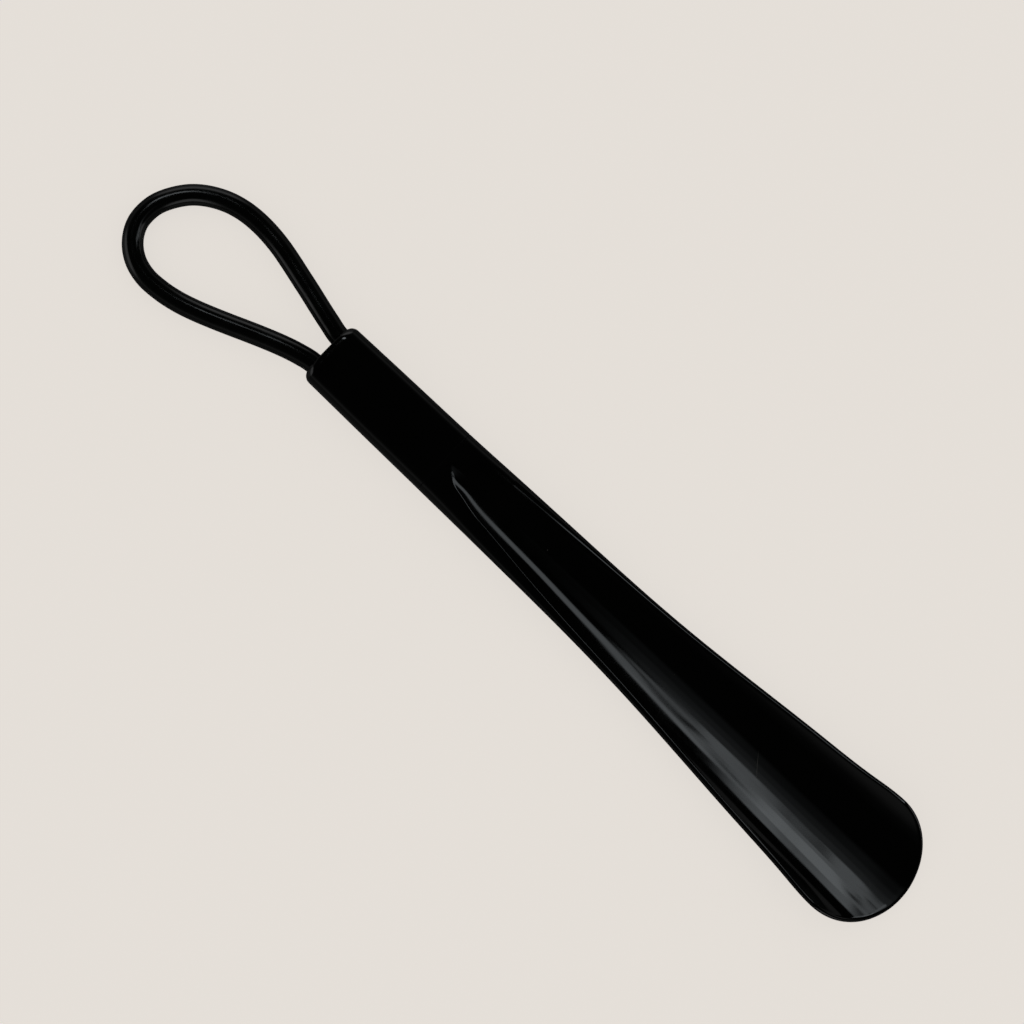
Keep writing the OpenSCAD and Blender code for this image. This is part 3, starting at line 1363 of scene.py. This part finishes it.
    link(grain_bump.outputs["Normal"], surface.inputs["Normal"])
    link(surface.outputs["BSDF"], out.inputs["Surface"])
    return material


@dataclass(frozen=True)
class CordFinish:
    """Smooth soft cord with a satin skin.

    Attributes:
        name: Name of the material.
        colour: Colour of the cord.
        satin: Roughness of the skin.
        ribbing: Depth of the lengthwise lines, in metres.
        bloom: How many times lighter the skin is where it has bloomed.
    """

    name: str
    colour: Colour
    satin: float
    ribbing: float
    bloom: float = 1.7


def soft_cord(finish: CordFinish) -> bpy.types.Material:
    """Write out the material of a soft cord.

    Args:
        finish: The finish to write out.

    Returns:
        The material.
    """
    material = bpy.data.materials.new(finish.name)
    material.use_nodes = True
    tree = material.node_tree
    tree.nodes.clear()

    cord_map = tree.nodes.new("ShaderNodeUVMap")
    cord_map.label = "Round and along the cord"
    lines_map = tree.nodes.new("ShaderNodeMapping")
    lines_map.label = "Lines drawn out lengthwise"
    lines = tree.nodes.new("ShaderNodeTexNoise")
    lines.label = "Fine lines from drawing the cord"
    lines_bump = tree.nodes.new("ShaderNodeBump")
    lines_bump.label = "Lines in the skin"
    place = tree.nodes.new("ShaderNodeTexCoord")
    place.label = "Place on the cord"
    mottle = tree.nodes.new("ShaderNodeTexNoise")
    mottle.label = "Mottling of the skin"
    mottle_range = tree.nodes.new("ShaderNodeMapRange")
    mottle_range.label = "Satin, smooth to handled"
    pores = tree.nodes.new("ShaderNodeTexNoise")
    pores.label = "Pores of the skin"
    pores_bump = tree.nodes.new("ShaderNodeBump")
    pores_bump.label = "Pores in the skin"
    colour = tree.nodes.new("ShaderNodeMix")
    colour.label = "Cord, dark to bloomed"
    surface = tree.nodes.new("ShaderNodeBsdfPrincipled")
    surface.label = "Soft cord"
    out = tree.nodes.new("ShaderNodeOutputMaterial")
    out.label = "Finished surface"

    for title, members, height in (
        ("Relief", [cord_map, lines_map, lines, lines_bump, pores, pores_bump], -400),
        ("Colour and satin", [place, mottle, mottle_range, colour], 200),
    ):
        group = tree.nodes.new("NodeFrame")
        group.label = title
        for k, node in enumerate(members):
            node.parent = group
            node.location = (-1200 + 220 * k, height)
    surface.location = (300, 0)
    out.location = (600, 0)

    lines_map.inputs["Scale"].default_value = (60, 3, 1)
    lines.inputs["Scale"].default_value = 1
    lines.inputs["Detail"].default_value = 2
    lines_bump.inputs["Strength"].default_value = 1
    lines_bump.inputs["Distance"].default_value = finish.ribbing
    mottle.inputs["Scale"].default_value = 140
    mottle.inputs["Detail"].default_value = 4
    mottle_range.inputs["From Min"].default_value = 0.35
    mottle_range.inputs["From Max"].default_value = 0.7
    mottle_range.inputs["To Min"].default_value = finish.satin
    mottle_range.inputs["To Max"].default_value = finish.satin + 0.12
    pores.inputs["Scale"].default_value = 1900
    pores.inputs["Detail"].default_value = 2
    pores_bump.inputs["Strength"].default_value = 1
    pores_bump.inputs["Distance"].default_value = finish.ribbing * 0.4
    colour.data_type = "RGBA"
    colour.inputs["A"].default_value = finish.colour
    colour.inputs["B"].default_value = tuple(finish.bloom * c for c in finish.colour[:3]) + (1,)
    surface.inputs["IOR"].default_value = 1.48

    link = tree.links.new
    link(cord_map.outputs["UV"], lines_map.inputs["Vector"])
    link(lines_map.outputs["Vector"], lines.inputs["Vector"])
    link(lines.outputs["Fac"], lines_bump.inputs["Height"])
    link(place.outputs["Object"], mottle.inputs["Vector"])
    link(place.outputs["Object"], pores.inputs["Vector"])
    link(mottle.outputs["Fac"], mottle_range.inputs["Value"])
    link(mottle_range.outputs["Result"], surface.inputs["Roughness"])
    link(mottle.outputs["Fac"], colour.inputs["Factor"])
    link(colour.outputs["Result"], surface.inputs["Base Color"])
    link(pores.outputs["Fac"], pores_bump.inputs["Height"])
    link(lines_bump.outputs["Normal"], pores_bump.inputs["Normal"])
    link(pores_bump.outputs["Normal"], surface.inputs["Normal"])
    link(surface.outputs["BSDF"], out.inputs["Surface"])
    return material


@dataclass(frozen=True)
class SleeveFinish:
    """Crimped aluminium.

    Attributes:
        name: Name of the material.
        colour: Colour of the metal.
        gloss: Roughness of the bare metal.
        turning: Depth of the turning marks, in metres.
    """

    name: str
    colour: Colour
    gloss: float
    turning: float


def crimped_metal(finish: SleeveFinish) -> bpy.types.Material:
    """Write out the material of the crimped sleeves.

    Args:
        finish: The finish to write out.

    Returns:
        The material.
    """
    material = bpy.data.materials.new(finish.name)
    material.use_nodes = True
    tree = material.node_tree
    tree.nodes.clear()

    place = tree.nodes.new("ShaderNodeTexCoord")
    place.label = "Place on the sleeve"
    stretch = tree.nodes.new("ShaderNodeMapping")
    stretch.label = "Marks run round the sleeve"
    turning = tree.nodes.new("ShaderNodeTexNoise")
    turning.label = "Turning marks"
    turning_bump = tree.nodes.new("ShaderNodeBump")
    turning_bump.label = "Marks in the metal"
    haze = tree.nodes.new("ShaderNodeTexNoise")
    haze.label = "Oxide haze"
    haze_range = tree.nodes.new("ShaderNodeMapRange")
    haze_range.label = "Bright to hazed"
    surface = tree.nodes.new("ShaderNodeBsdfPrincipled")
    surface.label = "Aluminium"
    out = tree.nodes.new("ShaderNodeOutputMaterial")
    out.label = "Finished surface"

    for title, members, height in (
        ("Turning marks", [place, stretch, turning, turning_bump], -300),
        ("Haze", [haze, haze_range], 200),
    ):
        group = tree.nodes.new("NodeFrame")
        group.label = title
        for k, node in enumerate(members):
            node.parent = group
            node.location = (-900 + 220 * k, height)
    surface.location = (200, 0)
    out.location = (500, 0)

    stretch.inputs["Scale"].default_value = (5000, 60, 60)
    turning.inputs["Scale"].default_value = 1
    turning_bump.inputs["Distance"].default_value = finish.turning
    haze.inputs["Scale"].default_value = 400
    haze.inputs["Detail"].default_value = 4
    haze_range.inputs["To Min"].default_value = finish.gloss
    haze_range.inputs["To Max"].default_value = finish.gloss + 0.2
    surface.inputs["Base Color"].default_value = finish.colour
    surface.inputs["Metallic"].default_value = 1

    link = tree.links.new
    link(place.outputs["Object"], stretch.inputs["Vector"])
    link(stretch.outputs["Vector"], turning.inputs["Vector"])
    link(turning.outputs["Fac"], turning_bump.inputs["Height"])
    link(turning_bump.outputs["Normal"], surface.inputs["Normal"])
    link(place.outputs["Object"], haze.inputs["Vector"])
    link(haze.outputs["Fac"], haze_range.inputs["Value"])
    link(haze_range.outputs["Result"], surface.inputs["Roughness"])
    link(surface.outputs["BSDF"], out.inputs["Surface"])
    return material


# ---------------------------------------------------------------- studio


@dataclass(frozen=True)
class Glow:
    """One soft-edged bright strip on the light panel, sizes as shares of the panel's distance.

    Attributes:
        start: Place of the strip's first end: along the horn, and up the panel.
        end: Place of its second end.
        reach: Half the strip's width.
        soft: Width over which its edge fades.
        brightness: Radiance of the strip, or the share kept where it is a dark bar.
    """

    start: Point2
    end: Point2
    reach: float
    soft: float
    brightness: float

    def cover(self, p: float, q: float) -> float:
        """Return how far a place is inside the strip.

        Args:
            p: The place, along the horn.
            q: The place, up the panel.

        Returns:
            0 outside, 1 well inside and a smooth rise between them.
        """
        run = (self.end[0] - self.start[0], self.end[1] - self.start[1])
        square = max(run[0] ** 2 + run[1] ** 2, 1e-9)
        share = ((p - self.start[0]) * run[0] + (q - self.start[1]) * run[1]) / square
        share = min(max(share, 0.0), 1.0)
        away = math.hypot(p - self.start[0] - share * run[0], q - self.start[1] - share * run[1])
        return 1 - ease(self.reach - self.soft / 2, self.reach + self.soft / 2, away)


@dataclass
class LightPanel:
    """A lit panel with bright strips and dark bars, seen only in the gloss.

    Attributes:
        name: Name of the panel.
        lengthwise: Angle from overhead towards the tip, in degrees.
        sideways: Angle from overhead towards +Y, in degrees.
        distance: Distance from the horn's middle, in metres.
        aim: The horn's middle, in metres.
        low: Lowest corner, as shares of the distance.
        high: Highest corner, as shares of the distance.
        columns: Cells along the horn.
        rows: Cells up the panel.
        tint: Colour of the light.
        strips: The bright strips.
        bars: The dark bars across them.
    """

    name: str = "light_panel"
    lengthwise: float = 12.0
    sideways: float = 45.0
    distance: float = 0.5
    aim: Point3 = (0.0, 0.0, 0.005)
    low: Point2 = (-0.34, -1.16)
    high: Point2 = (0.34, 0.66)
    columns: int = 136
    rows: int = 364
    tint: Point3 = (0.93, 1.0, 1.04)
    strips: tuple[Glow, ...] = (
        Glow((-0.165, -0.1), (-0.02, -0.065), 0.085, 0.07, 1.3),
        Glow((-0.02, -0.065), (0.05, 0.03), 0.06, 0.06, 1.25),
        Glow((0.05, 0.06), (0.12, 0.11), 0.05, 0.05, 1.6),
        Glow((0.12, 0.1), (0.11, -0.04), 0.025, 0.04, 1.3),
        Glow((0.07, -0.16), (0.07, -0.22), 0.05, 0.06, 1.0),
        Glow((0.165, -0.05), (0.165, -0.3), 0.065, 0.05, 1.35),
        Glow((0.2, 0.14), (0.205, -0.05), 0.035, 0.04, 2.1),
        Glow((0.2, 0.33), (0.18, 0.1), 0.038, 0.05, 1.4),
        Glow((0.16, -0.38), (0.17, -0.42), 0.13, 0.12, 0.25),
        Glow((0.16, -0.45), (0.17, -0.6), 0.14, 0.2, 0.15),
        Glow((0.17, -0.6), (0.18, -0.92), 0.13, 0.26, 0.08),
    )
    bars: tuple[Glow, ...] = (
        Glow((0.035, -0.16), (0.07, -0.01), 0.014, 0.016, 0.22),
        Glow((0.07, -0.01), (0.102, -0.15), 0.014, 0.016, 0.22),
        Glow((0.14, 0.22), (0.135, -0.08), 0.008, 0.02, 0.5),
        Glow((0.209, -0.33), (0.205, -0.16), 0.008, 0.012, 0.3),
    )

    def radiance(self, p: float, q: float) -> float:
        """Return the light given off at a place on the panel.

        Args:
            p: The place, along the horn.
            q: The place, up the panel.

        Returns:
            The radiance.
        """
        light = max(strip.brightness * strip.cover(p, q) for strip in self.strips)
        for bar in self.bars:
            light *= 1 - (1 - bar.brightness) * bar.cover(p, q)
        return light

    def build(self) -> None:
        """Hang the panel, facing the horn."""
        tilt = math.radians(math.hypot(self.lengthwise, self.sideways))
        heading = math.atan2(self.sideways, self.lengthwise)
        level = math.sin(tilt)
        out = Vector((level * math.cos(heading), level * math.sin(heading), math.cos(tilt)))
        along = (Vector((1, 0, 0)) - out * out.x).normalized()
        up = out.cross(along)
        centre = Vector(self.aim) + out * self.distance
        deselect_all()
        bpy.ops.mesh.primitive_grid_add(x_subdivisions=self.columns, y_subdivisions=self.rows, size=1)
        panel = settle(bpy.context.object, self.name)
        glow = panel.data.attributes.new("glow", "FLOAT", "POINT")
        for point in panel.data.vertices:
            p = self.low[0] + (self.high[0] - self.low[0]) * (point.co.x + 0.5)
            q = self.low[1] + (self.high[1] - self.low[1]) * (point.co.y + 0.5)
            glow.data[point.index].value = self.radiance(p, q)
            point.co = centre + (along * p + up * q) * self.distance
        panel.data.materials.append(self.light())
        panel.visible_camera = False
        panel.visible_diffuse = False
        panel.visible_shadow = False

    def light(self) -> bpy.types.Material:
        """Write out the panel's light.

        Returns:
            The material.
        """
        material = bpy.data.materials.new(self.name)
        material.use_nodes = True
        tree = material.node_tree
        tree.nodes.clear()
        glow = tree.nodes.new("ShaderNodeAttribute")
        glow.label = "Brightness on the panel"
        lamp = tree.nodes.new("ShaderNodeEmission")
        lamp.label = "Panel light"
        out = tree.nodes.new("ShaderNodeOutputMaterial")
        out.label = "Finished light"
        group = tree.nodes.new("NodeFrame")
        group.label = "Light of the strips"
        for k, node in enumerate((glow, lamp)):
            node.parent = group
            node.location = (-300 + 220 * k, 0)
        out.location = (300, 0)
        glow.attribute_name = "glow"
        lamp.inputs["Color"].default_value = (*self.tint, 1)
        tree.links.new(glow.outputs["Fac"], lamp.inputs["Strength"])
        tree.links.new(lamp.outputs["Emission"], out.inputs["Surface"])
        return material


@dataclass
class Studio:
    """Pale floor, soft light all round, lit panels for the gloss, and the camera.

    Attributes:
        floor_colour: Colour of the floor and of the room.
        floor_size: Side of the floor, in metres.
        floor_gap: How far the floor lies under the horn, in metres.
        camera_tilt: Angle of the camera from overhead towards -Y, in degrees.
        camera_distance: Distance of the camera from its target, in metres.
        camera_target: Place that the camera looks at, in metres.
        picture_turn: Turn of the picture about the line of sight, in degrees.
        lens_length: Focal length, in millimetres.
        floor_glow: Light that the floor gives off itself.
        room_light: Light that falls from all round.
        panels: The lit panels.
        corner_from: Product of the direction's level parts where the corner lights begin and are full.
        gloss_by_height: Light of the room in the gloss, against the direction's height.
        corner_lights_by_height: Further light towards the room's corners, against the same.
    """

    floor_colour: Colour = (0.776, 0.738, 0.694, 1)
    floor_size: float = 8.0
    floor_gap: float = 0.0002
    camera_tilt: float = 7.0
    camera_distance: float = 0.8135
    camera_target: Point3 = (-0.0516, 0.003, 0.0105)
    picture_turn: float = 43.76
    lens_length: float = 85.0
    floor_glow: float = 0.89
    room_light: float = 0.15
    panels: tuple[LightPanel, ...] = (
        LightPanel(),
        LightPanel(
            "loop_light",
            lengthwise=-26.0,
            sideways=13.5,
            distance=5.0,
            low=(-0.16, -0.12),
            high=(0.16, 0.12),
            columns=40,
            rows=30,
            strips=(Glow((-0.05, 0), (0.05, 0), 0.065, 0.06, 3.3),),
            bars=(),
        ),
    )
    corner_from: Point2 = (0.27, 0.4)
    gloss_by_height: tuple[Point2, ...] = (
        (-1.0, 0.03),
        (-0.04, 0.045),
        (0.06, 0.12),
        (0.22, 0.1),
        (0.42, 0.02),
        (0.6, 0.002),
    )
    corner_lights_by_height: tuple[Point2, ...] = (
        (-1.0, 0.0),
        (0.0, 0.1),
        (0.12, 0.5),
        (0.48, 0.65),
        (0.62, 0.0),
    )

    def camera(self) -> None:
        """Set the camera at its angle over the horn."""
        tilt = math.radians(self.camera_tilt)
        turn = math.radians(self.picture_turn)
        back = Vector((0, -math.sin(tilt), math.cos(tilt)))
        right = Vector((math.cos(turn), math.sin(turn), 0))
        right = (right - back * right.dot(back)).normalized()
        up = back.cross(right)
        lens = bpy.data.cameras.new("camera")
        lens.lens = self.lens_length
        lens.sensor_width = 36
        lens.clip_start = 0.01
        eye = bpy.data.objects.new("camera", lens)
        bpy.context.scene.collection.objects.link(eye)
        spot = Vector(self.camera_target) + back * self.camera_distance
        axes = Matrix((right, up, back)).transposed().to_4x4()
        eye.matrix_world = Matrix.Translation(spot) @ axes
        bpy.context.scene.camera = eye

    def floor(self) -> None:
        """Lay the pale floor under the horn."""
        deselect_all()
        bpy.ops.mesh.primitive_plane_add(size=self.floor_size, location=(0, 0, -self.floor_gap))
        board = settle(bpy.context.object, "floor")
        board.data.materials.append(self.matt_board())
        board.visible_glossy = False

    def matt_board(self) -> bpy.types.Material:
        """Write out the material of the floor.

        Returns:
            The material.
        """
        material = bpy.data.materials.new("pale_floor")
        material.use_nodes = True
        tree = material.node_tree
        tree.nodes.clear()
        surface = tree.nodes.new("ShaderNodeBsdfPrincipled")
        surface.label = "Matt pale board"
        out = tree.nodes.new("ShaderNodeOutputMaterial")
        out.label = "Finished floor"
        surface.location = (0, 0)
        out.location = (300, 0)
        surface.inputs["Base Color"].default_value = self.floor_colour
        surface.inputs["Roughness"].default_value = 1
        surface.inputs["Specular IOR Level"].default_value = 0
        surface.inputs["Emission Color"].default_value = self.floor_colour
        surface.inputs["Emission Strength"].default_value = self.floor_glow
        tree.links.new(surface.outputs["BSDF"], out.inputs["Surface"])
        return material

    def surroundings(self) -> None:
        """Light the scene from all round, with a dim glow near the horizon in the gloss."""
        world = bpy.data.worlds.new("studio")
        bpy.context.scene.world = world
        world.use_nodes = True
        tree = world.node_tree
        tree.nodes.clear()
        rays = tree.nodes.new("ShaderNodeLightPath")
        rays.label = "What looks at the room"
        strength = tree.nodes.new("ShaderNodeMapRange")
        strength.label = "Backdrop bright, room light soft"
        room = tree.nodes.new("ShaderNodeBackground")
        room.label = "Soft light all round"
        direction = tree.nodes.new("ShaderNodeTexCoord")
        direction.label = "Direction looked in"
        parts = tree.nodes.new("ShaderNodeSeparateXYZ")
        parts.label = "Parts of the direction"
        height_share = tree.nodes.new("ShaderNodeMapRange")
        height_share.label = "From straight down to straight up"
        horizon = tree.nodes.new("ShaderNodeValToRGB")
        horizon.label = "Glow round the horizon"
        corner = tree.nodes.new("ShaderNodeMath")
        corner.label = "Lengthwise times sideways"
        corner_size = tree.nodes.new("ShaderNodeMath")
        corner_size.label = "Alike in all four corners"
        in_corner = tree.nodes.new("ShaderNodeMapRange")
        in_corner.label = "Towards a corner of the room"
        corner_lights = tree.nodes.new("ShaderNodeValToRGB")
        corner_lights.label = "Broad dim lights in the corners"
        placed = tree.nodes.new("ShaderNodeMix")
        placed.label = "Lights only in the corners"
        dark = tree.nodes.new("ShaderNodeBackground")
        dark.label = "Dark room in the gloss"
        pick = tree.nodes.new("ShaderNodeMixShader")
        pick.label = "Room or gloss"
        out = tree.nodes.new("ShaderNodeOutputWorld")
        out.label = "Surroundings"

        horizon_nodes = [direction, parts, height_share, horizon, placed, dark]
        for title, members, height in (
            ("Room light", [rays, strength, room], 400),
            ("Glow round the horizon", horizon_nodes, 0),
            ("Lights in the corners", [corner, corner_size, in_corner, corner_lights], -450),
        ):
            group = tree.nodes.new("NodeFrame")
            group.label = title
            for k, node in enumerate(members):
                node.parent = group
                node.location = (-1200 + 240 * k, height)
        pick.location = (400, 0)
        out.location = (700, 0)

        room.inputs["Color"].default_value = self.floor_colour
        strength.inputs["To Min"].default_value = self.room_light
        strength.inputs["To Max"].default_value = 1.0
        height_share.inputs["From Min"].default_value = -1.0
        height_share.inputs["From Max"].default_value = 1.0
        ramps = ((horizon, self.gloss_by_height), (corner_lights, self.corner_lights_by_height))
        for ramp, glows in ramps:
            stops = ramp.color_ramp.elements
            stops[0].position = 0.0
            stops[0].color = (glows[0][1],) * 3 + (1,)
            stops[1].position = 1.0
            stops[1].color = (glows[-1][1],) * 3 + (1,)
            for level, glow in glows[1:]:
                stop = stops.new((level + 1) / 2)
                stop.color = (glow, glow, glow, 1)
        corner.operation = "MULTIPLY"
        corner_size.operation = "ABSOLUTE"
        in_corner.interpolation_type = "SMOOTHSTEP"
        in_corner.inputs["From Min"].default_value = self.corner_from[0]
        in_corner.inputs["From Max"].default_value = self.corner_from[1]
        placed.data_type = "RGBA"
        placed.blend_type = "ADD"
        dark.inputs["Strength"].default_value = 1

        link = tree.links.new
        link(rays.outputs["Is Camera Ray"], strength.inputs["Value"])
        link(strength.outputs["Result"], room.inputs["Strength"])
        link(direction.outputs["Generated"], parts.inputs["Vector"])
        link(parts.outputs["Z"], height_share.inputs["Value"])
        link(height_share.outputs["Result"], horizon.inputs["Fac"])
        link(height_share.outputs["Result"], corner_lights.inputs["Fac"])
        link(parts.outputs["X"], corner.inputs[0])
        link(parts.outputs["Y"], corner.inputs[1])
        link(corner.outputs["Value"], corner_size.inputs[0])
        link(corner_size.outputs["Value"], in_corner.inputs["Value"])
        link(in_corner.outputs["Result"], placed.inputs["Factor"])
        link(horizon.outputs["Color"], placed.inputs["A"])
        link(corner_lights.outputs["Color"], placed.inputs["B"])
        link(placed.outputs["Result"], dark.inputs["Color"])
        link(rays.outputs["Is Glossy Ray"], pick.inputs["Fac"])
        link(room.outputs["Background"], pick.inputs[1])
        link(dark.outputs["Background"], pick.inputs[2])
        link(pick.outputs["Shader"], out.inputs["Surface"])

    def build(self) -> None:
        """Set up the floor, the light and the colour handling."""
        self.floor()
        self.surroundings()
        for panel in self.panels:
            panel.build()
        bpy.context.scene.view_settings.view_transform = "Standard"


def main() -> None:
    """Build the camera and cord first, then the horn, its cover, the stops and the studio."""
    logging.basicConfig(level=logging.INFO, format="%(name)s: %(message)s")
    inside = HandleInside(HornForm())
    studio = Studio()
    studio.camera()

    plastic = moulded_plastic(
        PlasticFinish(
            "black_gloss_plastic",
            colour=(0.003, 0.0034, 0.0032, 1),
            worn_colour=(0.005, 0.0055, 0.0052, 1),
            gloss=0.05,
            dull=0.13,
            waviness=0.00006,
            grain=0.000001,
            scratch=(0.2, 0.2, 0.19, 1),
        )
    )
    rubber = soft_cord(CordFinish("black_soft_cord", (0.004, 0.0045, 0.0042, 1), 0.11, 0.00001))
    metal = crimped_metal(SleeveFinish("crimped_aluminium", (0.78, 0.79, 0.8, 1), 0.28, 0.00001))

    loop = LoopCord(inside.form)
    cord = loop.build()
    loop.dress(cord, rubber)
    log.info("loop cord laid: %d faces", len(cord.data.polygons))

    horn = Horn(inside)
    body, cover = horn.build()
    horn.dress(body, cover, plastic)
    log.info("horn body moulded: %d faces", len(body.data.polygons))
    log.info("handle cover moulded: %d faces", len(cover.data.polygons))

    for side in Side:
        stop = CordStop(side, inside)
        sleeve = stop.build()
        stop.dress(sleeve, metal)
        log.info("cord stop crimped: %d faces", len(sleeve.data.polygons))

    studio.build()


if __name__ == "__main__":
    main()
